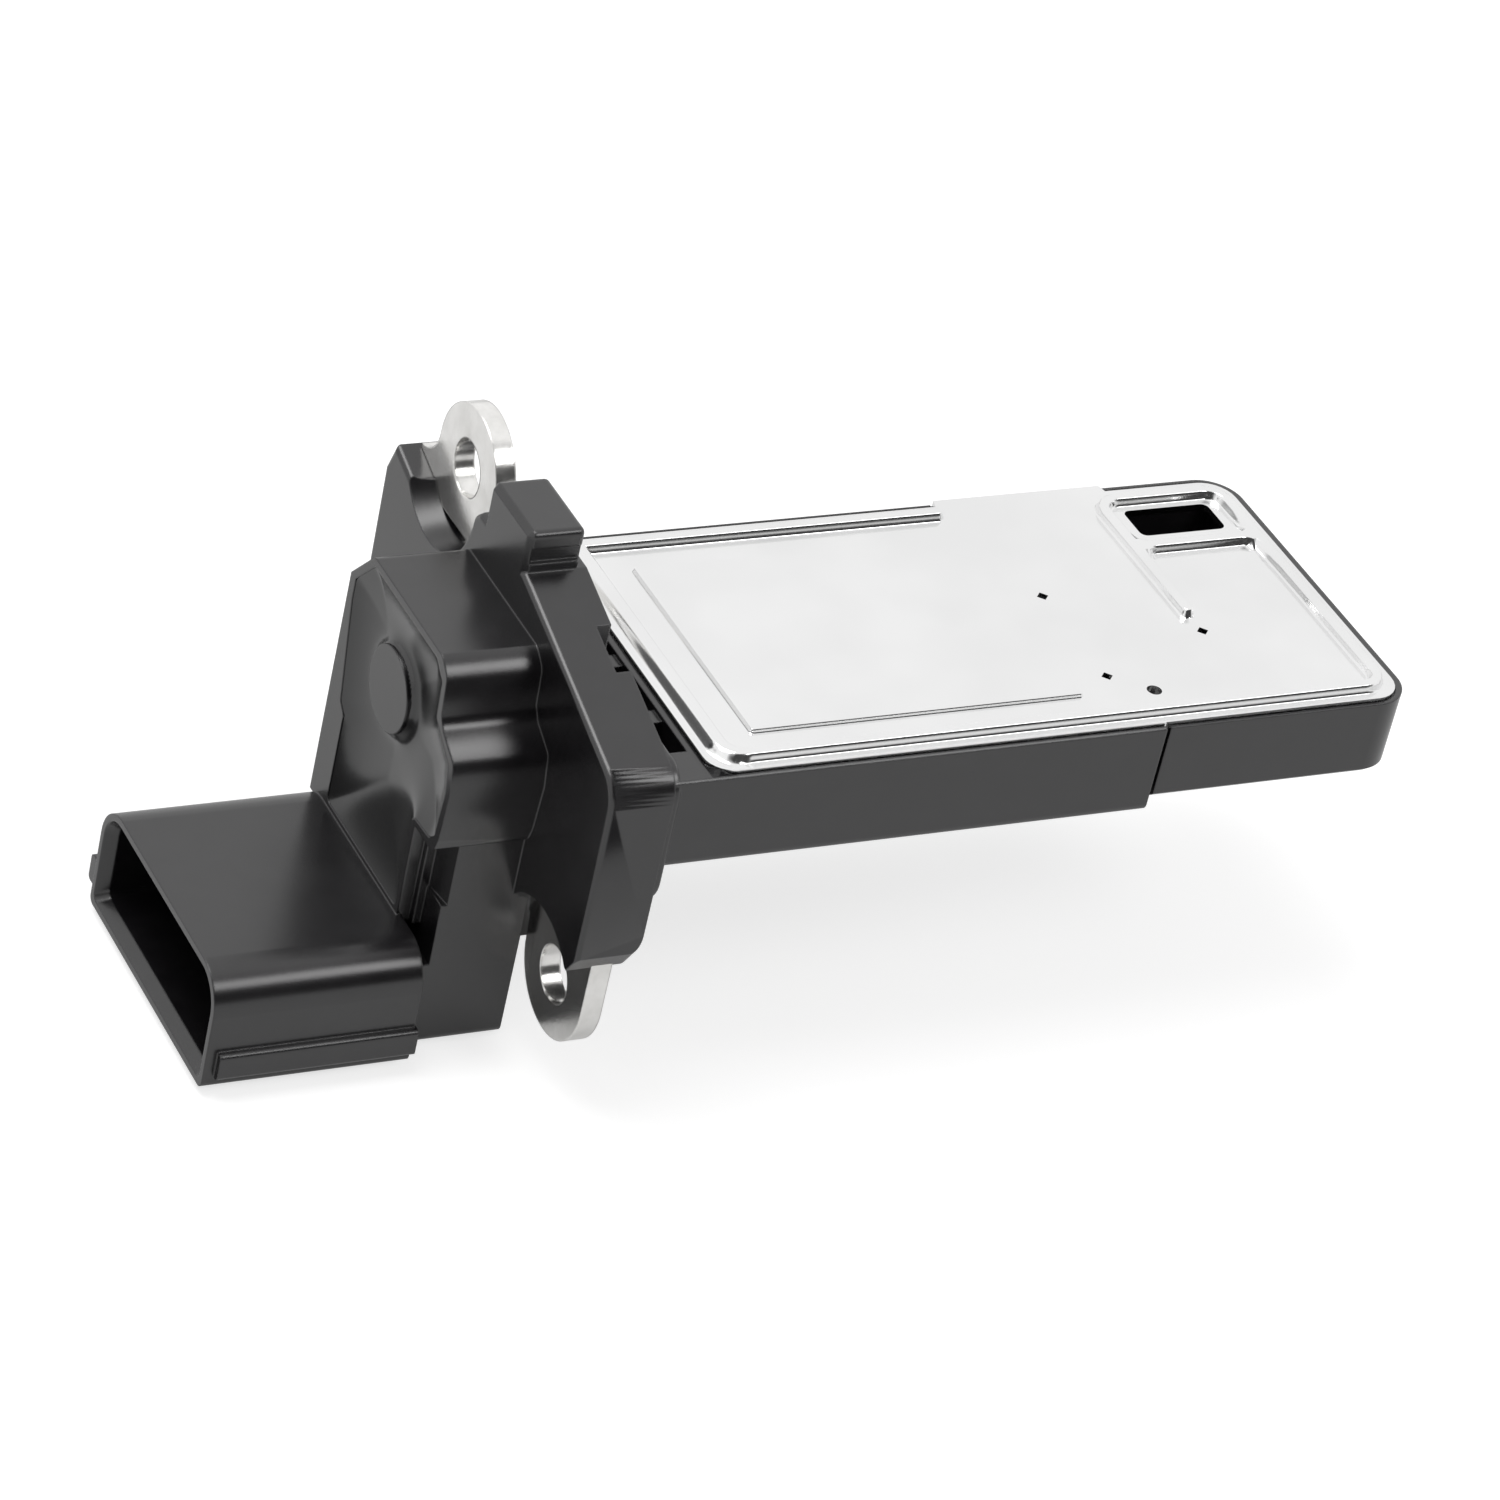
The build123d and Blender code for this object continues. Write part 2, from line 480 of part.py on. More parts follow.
def bond_wires():
    """Flat wires from the terminals to the board, one to each terminal."""
    z = board_top() - BOARD_T
    a, b = TERM_END - 0.8, BOARD_X0 + WIRE_END
    r, t = WIRE_RISE, WIRE_T
    line = [(a, z), (a + 0.6, z), (a + 1.1, z - r), (b - 1.1, z - r), (b - 0.6, z), (b, z),
            (b, z - t), (b - 0.7, z - t), (b - 1.2, z - r - t), (a + 1.2, z - r - t),
            (a + 0.7, z - t), (a, z - t)]
    out = []
    for i in range(N_TERM):
        y = (i - (N_TERM - 1) / 2) * PITCH
        face = make_face(Polyline(*line, close=True))
        out.append(extrude(Plane.XZ.offset(-y - WIRE_W / 2) * face, WIRE_W))
    return Compound(out)


def flow_chip():
    return sensing_cell()


def write(shape, name):
    export_step(shape, "parts/" + name + ".step")


write(sensor_body(), "sensor_body")
write(mounting_plate(), "mounting_plate")
write(bypass_housing(), "bypass_housing")
write(base_plate(), "base_plate")
write(circuit_cover(), "circuit_cover")
write(potting(), "potting_compound")
write(circuit_board(), "circuit_board")
write(board_adhesive(), "board_adhesive")
write(processor(), "processor_chip")
write(capacitors(), "ceramic_capacitors")
write(resistors(), "chip_resistors")
write(chip_carrier(), "chip_carrier")
write(flow_chip(), "flow_chip")
write(sealant_ring(), "plate_sealant")
write(bond_wires(), "bond_wires")
for n in range(N_TERM):
    write(terminal_path(n), "terminal_%d" % (n + 1))
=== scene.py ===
# %% [markdown]
# # A mass airflow sensor
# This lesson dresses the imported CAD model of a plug-in mass airflow sensor: a flat black probe under a
# light metal plate, a moulded flange with two metal screw ears, a box of black potting and a plug socket.
# The CAD nodes keep their shapes. Blender adds the pressed sheet of the metal plate, the sunken surface of
# the potting, and the finishes. Everything is in metres, with the origin midway between the two screws.

# %% Load the model
import math

import bmesh
import bpy
import numpy as np
from mathutils import Matrix, Vector


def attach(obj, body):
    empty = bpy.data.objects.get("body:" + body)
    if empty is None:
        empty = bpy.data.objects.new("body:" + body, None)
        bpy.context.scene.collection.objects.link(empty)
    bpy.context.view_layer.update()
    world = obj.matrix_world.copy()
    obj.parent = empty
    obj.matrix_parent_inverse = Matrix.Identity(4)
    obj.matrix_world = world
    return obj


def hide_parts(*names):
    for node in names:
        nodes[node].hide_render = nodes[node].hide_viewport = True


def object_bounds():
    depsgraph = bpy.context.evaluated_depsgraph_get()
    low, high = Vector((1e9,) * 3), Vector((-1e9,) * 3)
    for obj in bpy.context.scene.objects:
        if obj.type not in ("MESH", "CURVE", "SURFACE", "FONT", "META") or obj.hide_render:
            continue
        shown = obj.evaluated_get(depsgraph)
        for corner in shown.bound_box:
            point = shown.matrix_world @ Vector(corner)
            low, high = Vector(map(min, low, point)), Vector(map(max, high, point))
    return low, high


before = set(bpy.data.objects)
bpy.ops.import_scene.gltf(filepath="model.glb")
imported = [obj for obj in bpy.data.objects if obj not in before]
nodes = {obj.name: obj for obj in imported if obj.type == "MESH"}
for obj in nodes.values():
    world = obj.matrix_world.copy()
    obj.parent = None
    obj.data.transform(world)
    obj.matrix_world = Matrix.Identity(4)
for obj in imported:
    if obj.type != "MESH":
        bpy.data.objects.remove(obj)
cad_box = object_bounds()
print("CAD nodes:", len(nodes), "box:", cad_box)

# %% [markdown]
# ## Working units
# A designer thinks in millimetres, and Blender stores metres. One constant turns one into the other, so
# that every size below reads as it would on the drawing.

# %% Units and colours
MM = 0.001


def linear(hex_colour):
    """A colour written as sRGB hex, as linear red, green, blue and alpha."""
    out = []
    for i in (1, 3, 5):
        c = int(hex_colour[i:i + 2], 16) / 255
        out.append(c / 12.92 if c <= 0.04045 else ((c + 0.055) / 1.055) ** 2.4)
    return (*out, 1.0)


print("mid grey in linear light:", linear("#808080")[0])

# %% [markdown]
# ## Building node trees
# Every finish below, and the light of the room, is a small tree of shader nodes. One function adds a node,
# sets its properties and sockets, and links what feeds it. A socket is given by its name, or as i0, i1 and so
# on by its number. A value that is the same all over goes straight on the socket.

# %% A material and its nodes


def node_adder(owner):
    """Empties the node tree of a material or world and gives the function that adds nodes to it."""
    owner.use_nodes = True
    tree = owner.node_tree
    tree.nodes.clear()

    def add(kind, settings=None, **sockets):
        node = tree.nodes.new("ShaderNode" + kind)
        for key, value in (settings or {}).items():
            setattr(node, key, value)
        for key, value in sockets.items():
            numbered = key[0] == "i" and key[1:].isdigit()
            socket = node.inputs[int(key[1:]) if numbered else key.replace("_", " ")]
            if isinstance(value, bpy.types.NodeSocket):
                tree.links.new(value, socket)
            else:
                socket.default_value = value
        return node
    return add


def new_material(name):
    """An empty material and the function that adds nodes to it."""
    material = bpy.data.materials.new(name)
    return material, node_adder(material)


def cover(material, *names):
    """Gives CAD nodes this material."""
    for name in names:
        mesh = nodes[name].data
        mesh.materials.clear()
        mesh.materials.append(material)
        for face in mesh.polygons:
            face.material_index = 0
    print(material.name, "on", ", ".join(names))


# %% [markdown]
# ## Moulded plastic
# The body is injection-moulded polyester filled with glass fibre, the usual choice under a bonnet. The
# tool's faces are spark-eroded, so the plastic has a very fine even grain and a soft sheen. The fibres rise
# a little at the surface and leave slightly duller and greyer patches. A Bevel node rounds the sharp CAD
# edges in the shading alone, as the small radius of a mould does, so that edges catch the light.

# %% Glass-filled polyester


def moulded_polyester(name, colour, dull):
    material, add = new_material(name)
    place = add("TexCoord").outputs["Object"]
    fibre = add("TexNoise", Vector=place, Scale=1 / (2.2 * MM), Detail=3.0)
    tone = add("MapRange", Value=fibre.outputs["Fac"], From_Min=0.35, From_Max=0.7)
    mix = add("Mix", {"data_type": "RGBA"}, i0=tone.outputs["Result"])
    mix.inputs[6].default_value = linear(colour)
    mix.inputs[7].default_value = linear(dull)
    patch = add("TexNoise", Vector=place, Scale=1 / (9 * MM), Detail=2.0)
    rough = add("MapRange", Value=patch.outputs["Fac"], To_Min=0.20, To_Max=0.30)
    grain = add("TexNoise", Vector=place, Scale=1 / (0.25 * MM), Detail=1.0)
    edge = add("Bevel", {"samples": 6}, Radius=0.22 * MM)
    bump = add("Bump", Height=grain.outputs["Fac"], Strength=0.10, Distance=0.02 * MM,
               Normal=edge.outputs["Normal"])
    skin = add("BsdfPrincipled", Base_Color=mix.outputs[2], Roughness=rough.outputs["Result"],
               IOR=1.7, Normal=bump.outputs["Normal"])
    add("OutputMaterial", Surface=skin.outputs["BSDF"])
    return material


polyester = moulded_polyester("glass_filled_polyester_moulded", "#141315", "#1b1a1c")
cover(polyester, "sensor_body", "bypass_housing", "circuit_cover")

# %% [markdown]
# The potting box has two round bulges on its near side. The CAD draws them as flat strips with small
# fillets. Here their shading flows from one strip into the next: each corner of a strip takes the slope of
# one smooth curve, so that a lamp draws soft streaks along them, as it does on the real moulding.

# %% Flowing normals on the bulges
BULGE_X, BULGE_Z, BULGE_NEAR = (-11, -1.5), (-3.0, 10.34), -4.9      # where the strips lie
BULGES = [(-4.9, 10.35, 24), (-5.75, 9.83, 44), (-6.4, 9.3, 54), (-6.55, 7.7, 84), (-6.7, 6.2, 72),
          (-7.4, 5.3, 38), (-8.6, 4.7, 34), (-9.8, 4.1, 56), (-10.0, 2.8, 80), (-10.25, 1.6, 87),
          (-10.1, -0.5, 95), (-9.9, -2.5, 100)]      # Y, Z and the slope there in degrees


def slope_at(y, z):
    """Slope of the flowing curve at its point nearest to this one."""
    best, slope = 1e9, 0.0
    for (ya, za, sa), (yb, zb, sb) in zip(BULGES, BULGES[1:]):
        run = (yb - ya) ** 2 + (zb - za) ** 2
        t = min(max(((y - ya) * (yb - ya) + (z - za) * (zb - za)) / run, 0), 1)
        away = math.hypot(ya + t * (yb - ya) - y, za + t * (zb - za) - z)
        if away < best:
            best, slope = away, sa + t * (sb - sa)
    return math.radians(slope)


body = nodes["sensor_body"].data
normals = [Vector(corner.vector) for corner in body.corner_normals]
flowing = 0
for face in body.polygons:
    x, y, z = (v / MM for v in face.center)
    on_side = BULGE_X[0] < x < BULGE_X[1] and y < BULGE_NEAR and BULGE_Z[0] < z < BULGE_Z[1]
    if on_side and abs(face.normal.x) < 0.3:
        face.use_smooth = True
        flowing += 1
        for i in face.loop_indices:
            spot = body.vertices[body.loops[i].vertex_index].co / MM
            slope = slope_at(spot.y, spot.z)
            normals[i] = Vector((0, -math.sin(slope), math.cos(slope)))
body.normals_split_custom_set(normals)
print("strips with flowing normals:", flowing)

# %% [markdown]
# ## Zinc-plated steel
# The screw ears belong to one stamped steel strip that the flange was moulded round. Zinc plating gives it
# a pale grey metal with a soft, cloudy sheen, and handling leaves duller marks.

# %% Plated steel


def zinc_plate(name):
    material, add = new_material(name)
    place = add("TexCoord").outputs["Object"]
    cloud = add("TexNoise", Vector=place, Scale=1 / (3 * MM), Detail=5.0, Roughness=0.6)
    tone = add("MapRange", Value=cloud.outputs["Fac"], From_Min=0.3, From_Max=0.7)
    mix = add("Mix", {"data_type": "RGBA"}, i0=tone.outputs["Result"])
    mix.inputs[6].default_value = linear("#dcdbd8")
    mix.inputs[7].default_value = linear("#f3f2f0")
    rough = add("MapRange", Value=cloud.outputs["Fac"], To_Min=0.26, To_Max=0.14)
    pit = add("TexNoise", Vector=place, Scale=1 / (0.35 * MM), Detail=3.0)
    edge = add("Bevel", {"samples": 6}, Radius=0.25 * MM)
    bump = add("Bump", Height=pit.outputs["Fac"], Strength=0.15, Distance=0.03 * MM,
               Normal=edge.outputs["Normal"])
    skin = add("BsdfPrincipled", Base_Color=mix.outputs[2], Metallic=1.0,
               Roughness=rough.outputs["Result"], Normal=bump.outputs["Normal"])
    add("OutputMaterial", Surface=skin.outputs["BSDF"])
    return material


cover(zinc_plate("zinc_plated_steel_stamped"), "mounting_plate")

# %% [markdown]
# ## Aluminium sheet
# The plate over the probe is mill-finished aluminium, pressed into shape. Its satin surface spreads
# reflections over a few degrees, so its flat areas show the pale studio as one even light tone while the
# sloping sides of the beads pick up darker surroundings.

# %% Aluminium


def mill_aluminium(name):
    material, add = new_material(name)
    place = add("TexCoord").outputs["Object"]
    cloud = add("TexNoise", Vector=place, Scale=1 / (9 * MM), Detail=2.0)
    tone = add("MapRange", Value=cloud.outputs["Fac"], From_Min=0.3, From_Max=0.7)
    mix = add("Mix", {"data_type": "RGBA"}, i0=tone.outputs["Result"])
    mix.inputs[6].default_value = linear("#e9e9e9")
    mix.inputs[7].default_value = linear("#efefef")
    rough = add("MapRange", Value=cloud.outputs["Fac"], To_Min=0.12, To_Max=0.16)
    skin = add("BsdfPrincipled", Base_Color=mix.outputs[2], Metallic=1.0,
               Roughness=rough.outputs["Result"])
    add("OutputMaterial", Surface=skin.outputs["BSDF"])
    return material


aluminium = mill_aluminium("mill_finish_aluminium_pressed")
cover(aluminium, "bond_wires")

# %% [markdown]
# ## The pressed plate
# On the real sensor this is one sheet of aluminium, half a millimetre thick. A press forms a raised pad and
# narrow beads that stiffen it, so every step in it is a smooth curve, never a sharp corner. It could be
# cut from blocks, but a sheet that is raised by a height rule gives the true rounded section: the rule
# measures how far each point lies from the middle of the nearest bead, and lifts it along an S-curve.

# %% Sizes of the plate, in millimetres
SHEET_X, SHEET_Y = (6.5, 66.9), (-15.7, 15.9)      # the sheet before it is trimmed
PLATE_X = (7.0, 66.35)
PLATE_Y = (-15.2, 14.58)
PLATE_TOP = 5.07
SHEET = 0.5
BEAD_HIGH = 0.66
BEAD_HALF = 0.67          # from a bead's middle to its foot
BEAD_CROWN = 0.32         # half the width of its flat top
PAD = (11.8, 40.0, -11.2, 10.1)
PAD_HIGH = 0.30
PAD_SIDE = 0.16          # width of its sloping side
PAD_CORNER = 0.3
TAB = (40.3, 55.6, 15.4)  # the far edge reaches out between these two places
WINDOW = (55.6, 63.3, 8.2, 11.7)
ROUND_HOLE = (46.1, -11.2, 0.6)
SMALL_HOLES, SMALL_REACH = ((43.2, 1.8), (43.2, -8.9), (54.0, -4.6)), 0.5
LEFT, TIP, NEAR, FAR = 8.65, 65.0, -13.9, 13.2      # middles of the beads along the four edges
INNER, CROSS, WINDOW_FAR = 53.8, 6.35, 12.9      # middles of the three beads around the window
LEFT_HALF, LEFT_FADE = 1.25, 1.7     # the bead beside the flange rises gently, up to this far past it
BEADS = [[(39.6, FAR), (LEFT + 0.4, FAR)],
         [(LEFT, FAR), (LEFT, NEAR), (TIP, NEAR), (TIP, WINDOW_FAR), (INNER, WINDOW_FAR), (INNER, -2.3)],
         [(INNER, 9.5), (INNER, CROSS), (TIP, CROSS), (TIP, 9.5)],
         [(INNER, 3.2), (INNER, CROSS), (TIP, CROSS), (TIP, 3.2)]]
BEND = 1.7                # radius of a bead's middle where it turns


def rounded_path(corners, radius):
    """Points along straight runs joined by arcs."""
    pts = [np.array(c, float) for c in corners]
    out = [pts[0]]
    for a, b, c in zip(pts, pts[1:], pts[2:]):
        u, v = (a - b) / np.linalg.norm(a - b), (c - b) / np.linalg.norm(c - b)
        start, end, middle = b + u * radius, b + v * radius, b + (u + v) * radius
        for t in np.linspace(0, 1, 9):
            angle_a = math.atan2(*(start - middle)[::-1])
            angle_b = math.atan2(*(end - middle)[::-1])
            turn = (angle_b - angle_a + math.pi) % (2 * math.pi) - math.pi
            angle = angle_a + turn * t
            out.append(middle + radius * np.array([math.cos(angle), math.sin(angle)]))
    out.append(pts[-1])
    return np.array(out)


def distance_to_path(points, path):
    """Distance in the plane from each point to a line of straight pieces."""
    best = np.full(len(points), 1e9)
    for a, b in zip(path[:-1], path[1:]):
        ab = b - a
        t = np.clip(((points - a) @ ab) / max(ab @ ab, 1e-12), 0, 1)
        best = np.minimum(best, np.linalg.norm(points - (a + t[:, None] * ab), axis=1))
    return best


def s_curve(t):
    t = np.clip(t, 0, 1)
    return t * t * (3 - 2 * t)


def plate_height(points):
    """How far the press lifts the sheet at each point."""
    lift = np.zeros(len(points))
    gentle = np.clip((LEFT + LEFT_FADE - points[:, 0]) / LEFT_FADE, 0, 1)
    for i, bead in enumerate(BEADS):
        d = distance_to_path(points, rounded_path(bead, BEND))
        half = BEAD_HALF + (LEFT_HALF - BEAD_HALF) * (gentle if i == 1 else 0)
        lift = np.maximum(lift, BEAD_HIGH * s_curve((half - d) / (half - BEAD_CROWN)))
    x0, x1, y0, y1 = PAD
    q = np.stack([np.abs(points[:, 0] - (x0 + x1) / 2) - (x1 - x0) / 2 + PAD_CORNER,
                  np.abs(points[:, 1] - (y0 + y1) / 2) - (y1 - y0) / 2 + PAD_CORNER], 1)
    inside = np.linalg.norm(np.maximum(q, 0), axis=1) + np.minimum(q.max(1), 0) - PAD_CORNER
    return np.maximum(lift, PAD_HIGH * s_curve(-inside / PAD_SIDE))


points = np.array([[20.0, 0.0], [LEFT, 0.0], [30.0, NEAR + 0.5]])
print("height on pad, bead and bead side:", plate_height(points).round(3))

# %% [markdown]
# The grid has close lines only where the sheet bends, which keeps the mesh small. Solidify then gives the
# sheet its thickness, and booleans trim the outline, the window and the small holes, as the press tool does.

# %% Make the sheet


def close_lines(start, end, walls, turns, coarse=1.6, medium=0.12, fine=0.035):
    """Grid positions from start to end, close together where the sheet bends."""
    marks = [*np.arange(start, end, coarse), end]
    for a, b in turns:
        marks += list(np.arange(a, b, medium))
    for a, b in walls:
        marks += list(np.arange(a, b, fine))
    out = []
    for m in sorted(m for m in marks if start <= m <= end):
        if not out or m - out[-1] > fine * 0.7:
            out.append(m)
    return np.array(out)


def bead_walls(*middles):
    """Where the two sides of each bead rise."""
    low, high = BEAD_CROWN - 0.03, BEAD_HALF + 0.05
    return [span for m in middles for span in ((m - high, m - low), (m + low, m + high))]


def mesh_object(name, verts, faces):
    mesh = bpy.data.meshes.new(name)
    mesh.from_pydata([tuple(v) for v in verts], [], faces)
    mesh.update()
    ob = bpy.data.objects.new(name, mesh)
    bpy.context.scene.collection.objects.link(ob)
    return ob


def slab(name, outline, low, high):
    """A flat-sided block with this outline in X and Y."""
    n = len(outline)
    verts = [(x * MM, y * MM, z * MM) for z in (low, high) for x, y in outline]
    faces = [tuple(range(n))[::-1], tuple(range(n, 2 * n))]
    faces += [(i, (i + 1) % n, n + (i + 1) % n, n + i) for i in range(n)]
    return mesh_object(name, verts, faces)


def apply_modifiers(ob):
    depsgraph = bpy.context.evaluated_depsgraph_get()
    mesh = bpy.data.meshes.new_from_object(ob.evaluated_get(depsgraph))
    ob.modifiers.clear()
    ob.data = mesh


def trim(ob, tool, operation):
    """Cuts ob with a tool and throws the tool away."""
    cut = ob.modifiers.new("cut", "BOOLEAN")
    cut.operation = operation
    cut.solver = "EXACT"
    cut.object = tool
    apply_modifiers(ob)
    bpy.data.objects.remove(tool)


def smooth_shade(ob, angle):
    """Smooth shading, with edges steeper than the angle kept sharp."""
    mesh = ob.data
    mesh.polygons.foreach_set("use_smooth", [True] * len(mesh.polygons))
    mesh.set_sharp_from_angle(angle=math.radians(angle))


def ring(cx, cy, radius, count=24):
    return [(cx + radius * math.cos(2 * math.pi * i / count),
             cy + radius * math.sin(2 * math.pi * i / count)) for i in range(count)]


def rounded_outline(corners, radii, count=8):
    """Outline with its corners rounded; the corners run anticlockwise."""
    out = []
    n = len(corners)
    for i, radius in enumerate(radii):
        a, b, c = (np.array(corners[(i + k) % n], float) for k in (-1, 0, 1))
        u, v = (a - b) / np.linalg.norm(a - b), (c - b) / np.linalg.norm(c - b)
        middle = b + (u + v) * radius
        start = b + u * radius - middle
        for t in np.linspace(0, 1, count):
            angle = math.atan2(start[1], start[0]) + t * math.pi / 2
            out.append(tuple(middle + radius * np.array([math.cos(angle), math.sin(angle)])))
    return out


CUT_Z = (2, 9)            # the cutting tools reach from below the sheet to above it
x0, x1, y0, y1 = PAD
pad_x = [(x0 - 0.03, x0 + PAD_CORNER + 0.1), (x1 - PAD_CORNER - 0.1, x1 + 0.03)]
pad_y = [(y0 - 0.03, y0 + PAD_CORNER + 0.1), (y1 - PAD_CORNER - 0.1, y1 + 0.03)]
xs = close_lines(*SHEET_X, bead_walls(LEFT, INNER, TIP) + pad_x,
                 [(LEFT - 2.0, LEFT + 2.4), (39.0, 40.3), (52.9, 56.2), (TIP - 2.4, TIP + 0.6)])
ys = close_lines(*SHEET_Y, bead_walls(NEAR, CROSS, WINDOW_FAR, FAR) + pad_y,
                 [(NEAR - 0.6, NEAR + 2.4), (-3.0, -1.6), (FAR - 2.4, FAR + 0.6)])
grid = np.array([(x, y) for y in ys for x in xs])
lift = plate_height(grid)
columns = len(xs)
quads = [(r * columns + c, r * columns + c + 1, (r + 1) * columns + c + 1, (r + 1) * columns + c)
         for r in range(len(ys) - 1) for c in range(columns - 1)]
plate = mesh_object("pressed_plate", np.column_stack([grid, PLATE_TOP + lift]) * MM, quads)
sheet = plate.modifiers.new("sheet", "SOLIDIFY")
sheet.thickness = SHEET * MM
sheet.offset = -1
apply_modifiers(plate)
(x0, x1), (y0, y1) = PLATE_X, PLATE_Y
corners = rounded_outline([(x0, y0), (x1, y0), (x1, y1), (x0, y1)], [2.0, 2.4, 2.4, 2.0])
tab_x0, tab_x1, tab_y = TAB
tab = [(tab_x1, y1), (tab_x1 - 0.2, tab_y), (tab_x0 + 0.2, tab_y), (tab_x0, y1)]
outline = corners[:24] + tab + corners[24:]
trim(plate, slab("outline", outline, *CUT_Z), "INTERSECT")
x0, x1, y0, y1 = WINDOW
opening = rounded_outline([(x0, y0), (x1, y0), (x1, y1), (x0, y1)], [0.6] * 4)
trim(plate, slab("window", opening, *CUT_Z), "DIFFERENCE")
trim(plate, slab("round_hole", ring(*ROUND_HOLE), *CUT_Z), "DIFFERENCE")
for x, y in SMALL_HOLES:
    trim(plate, slab("small_hole", ring(x, y, SMALL_REACH, 4), *CUT_Z), "DIFFERENCE")
smooth_shade(plate, 40)
plate.data.materials.clear()
plate.data.materials.append(aluminium)
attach(plate, "root")
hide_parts("base_plate")
print("plate:", len(plate.data.polygons), "faces")

# %% [markdown]
# ## Potting
# The box is filled with a two-part epoxy, black and self-levelling. It cures to a glassy surface that
# mirrors the studio.

# %% Epoxy


def cured_epoxy(name):
    material, add = new_material(name)
    place = add("TexCoord").outputs["Object"]
    ripple = add("TexNoise", Vector=place, Scale=1 / (4 * MM), Detail=1.0)
    bump = add("Bump", Height=ripple.outputs["Fac"], Strength=0.25, Distance=0.12 * MM)
    skin = add("BsdfPrincipled", Base_Color=linear("#121213"), Roughness=0.19, IOR=1.7,
               Normal=bump.outputs["Normal"])
    add("OutputMaterial", Surface=skin.outputs["BSDF"])
    return material


epoxy = cured_epoxy("epoxy_potting_cured")

# %% [markdown]
# Liquid epoxy wets the wall of the box, climbs it a little and sinks in the middle as it cures. It climbs
# the round moulded disc in the same way. The surface starts as one flat face with the pocket's outline and
# is cut into small cells. Each point then sinks by how far it lies from the nearest wall, and less beside
# the disc.

# %% The sunken surface
POCKET = [(7.2, 9.7), (-4.4, 9.7), (-5.8, 8.6), (-6.0, 5.6), (-9.1, 3.6), (-9.5, 1.4), (-9.2, -2.6),
          (-8.4, -3.3), (-5.5, -3.5), (-5.6, -11.7), (7.7, -11.7), (7.7, -4.0), (8.6, -3.2), (9.8, 5.0),
          (9.8, 6.9)]
POT_RIM, POT_SINK, POT_REACH = -11.12, 1.1, 2.4      # level at the wall, depth, and how fast it sinks
DISC = (2.2, 2.3, 3.35)           # middle in Y and Z, and radius, of the moulded disc that stands in it
DISC_CLIMB, DISC_REACH = 0.6, 0.45
CELL = 0.22


def soft_corners(loop, radius=0.5):
    """The outline with each corner replaced by a short curve."""
    out = []
    n = len(loop)
    for i in range(n):
        a, b, c = (np.array(loop[(i + k) % n], float) for k in (-1, 0, 1))
        u, v = (a - b) / np.linalg.norm(a - b), (c - b) / np.linalg.norm(c - b)
        reach = min(radius, np.linalg.norm(a - b) * 0.4, np.linalg.norm(c - b) * 0.4)
        p, q = b + u * reach, b + v * reach
        out += [tuple((1 - t) ** 2 * p + 2 * t * (1 - t) * b + t * t * q) for t in np.linspace(0, 1, 6)]
    return out


loop = soft_corners(POCKET)
bm = bmesh.new()
bm.faces.new([bm.verts.new((0, y, z)) for y, z in loop])
for axis, low, high in ((1, -9.5, 9.8), (2, -11.7, 9.7)):
    for mark in np.arange(low + 0.2, high, CELL):
        place, normal = [0, 0, 0], [0, 0, 0]
        place[axis], normal[axis] = mark, 1
        bmesh.ops.bisect_plane(bm, geom=bm.verts[:] + bm.edges[:] + bm.faces[:], plane_co=place,
                               plane_no=normal)
wall = np.array(loop + [loop[0]])
at = np.array([(v.co.y, v.co.z) for v in bm.verts])
sink = POT_SINK * (1 - np.exp(-distance_to_path(at, wall) / POT_REACH))
from_disc = np.maximum(np.hypot(at[:, 0] - DISC[0], at[:, 1] - DISC[1]) - DISC[2], 0)
sink *= 1 - DISC_CLIMB * np.exp(-from_disc / DISC_REACH)
for v, s in zip(bm.verts, sink):
    v.co = Vector(((POT_RIM + s) * MM, v.co.y * MM, v.co.z * MM))
bmesh.ops.recalc_face_normals(bm, faces=bm.faces[:])
if sum(f.normal.x for f in bm.faces) > 0:
    bmesh.ops.reverse_faces(bm, faces=bm.faces[:])
mesh = bpy.data.meshes.new("potting_surface")
bm.to_mesh(mesh)
bm.free()
potting = bpy.data.objects.new("potting_surface", mesh)
bpy.context.scene.collection.objects.link(potting)
thick = potting.modifiers.new("thick", "SOLIDIFY")
thick.thickness = 0.5 * MM
thick.offset = -1
apply_modifiers(potting)
smooth_shade(potting, 50)
potting.data.materials.clear()
potting.data.materials.append(epoxy)
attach(potting, "root")
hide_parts("potting_compound")
print("potting:", len(potting.data.polygons), "faces")

# %% [markdown]
# ## Inner pieces
# Little of the circuit can be seen, but each piece still gets the finish of the real one.

# %% Circuit finishes


def plain_finish(name, colour, other, roughness, spot_mm, metallic=0.0):
    material, add = new_material(name)
    place = add("TexCoord").outputs["Object"]
    spots = add("TexNoise", Vector=place, Scale=1 / (spot_mm * MM), Detail=2.0)
    mix = add("Mix", {"data_type": "RGBA"}, i0=spots.outputs["Fac"])
    mix.inputs[6].default_value = linear(colour)
    mix.inputs[7].default_value = linear(other)
    bump = add("Bump", Height=spots.outputs["Fac"], Strength=0.1, Distance=0.02 * MM)
    skin = add("BsdfPrincipled", Base_Color=mix.outputs[2], Roughness=roughness,
               Metallic=metallic, Normal=bump.outputs["Normal"])
    add("OutputMaterial", Surface=skin.outputs["BSDF"])
    return material


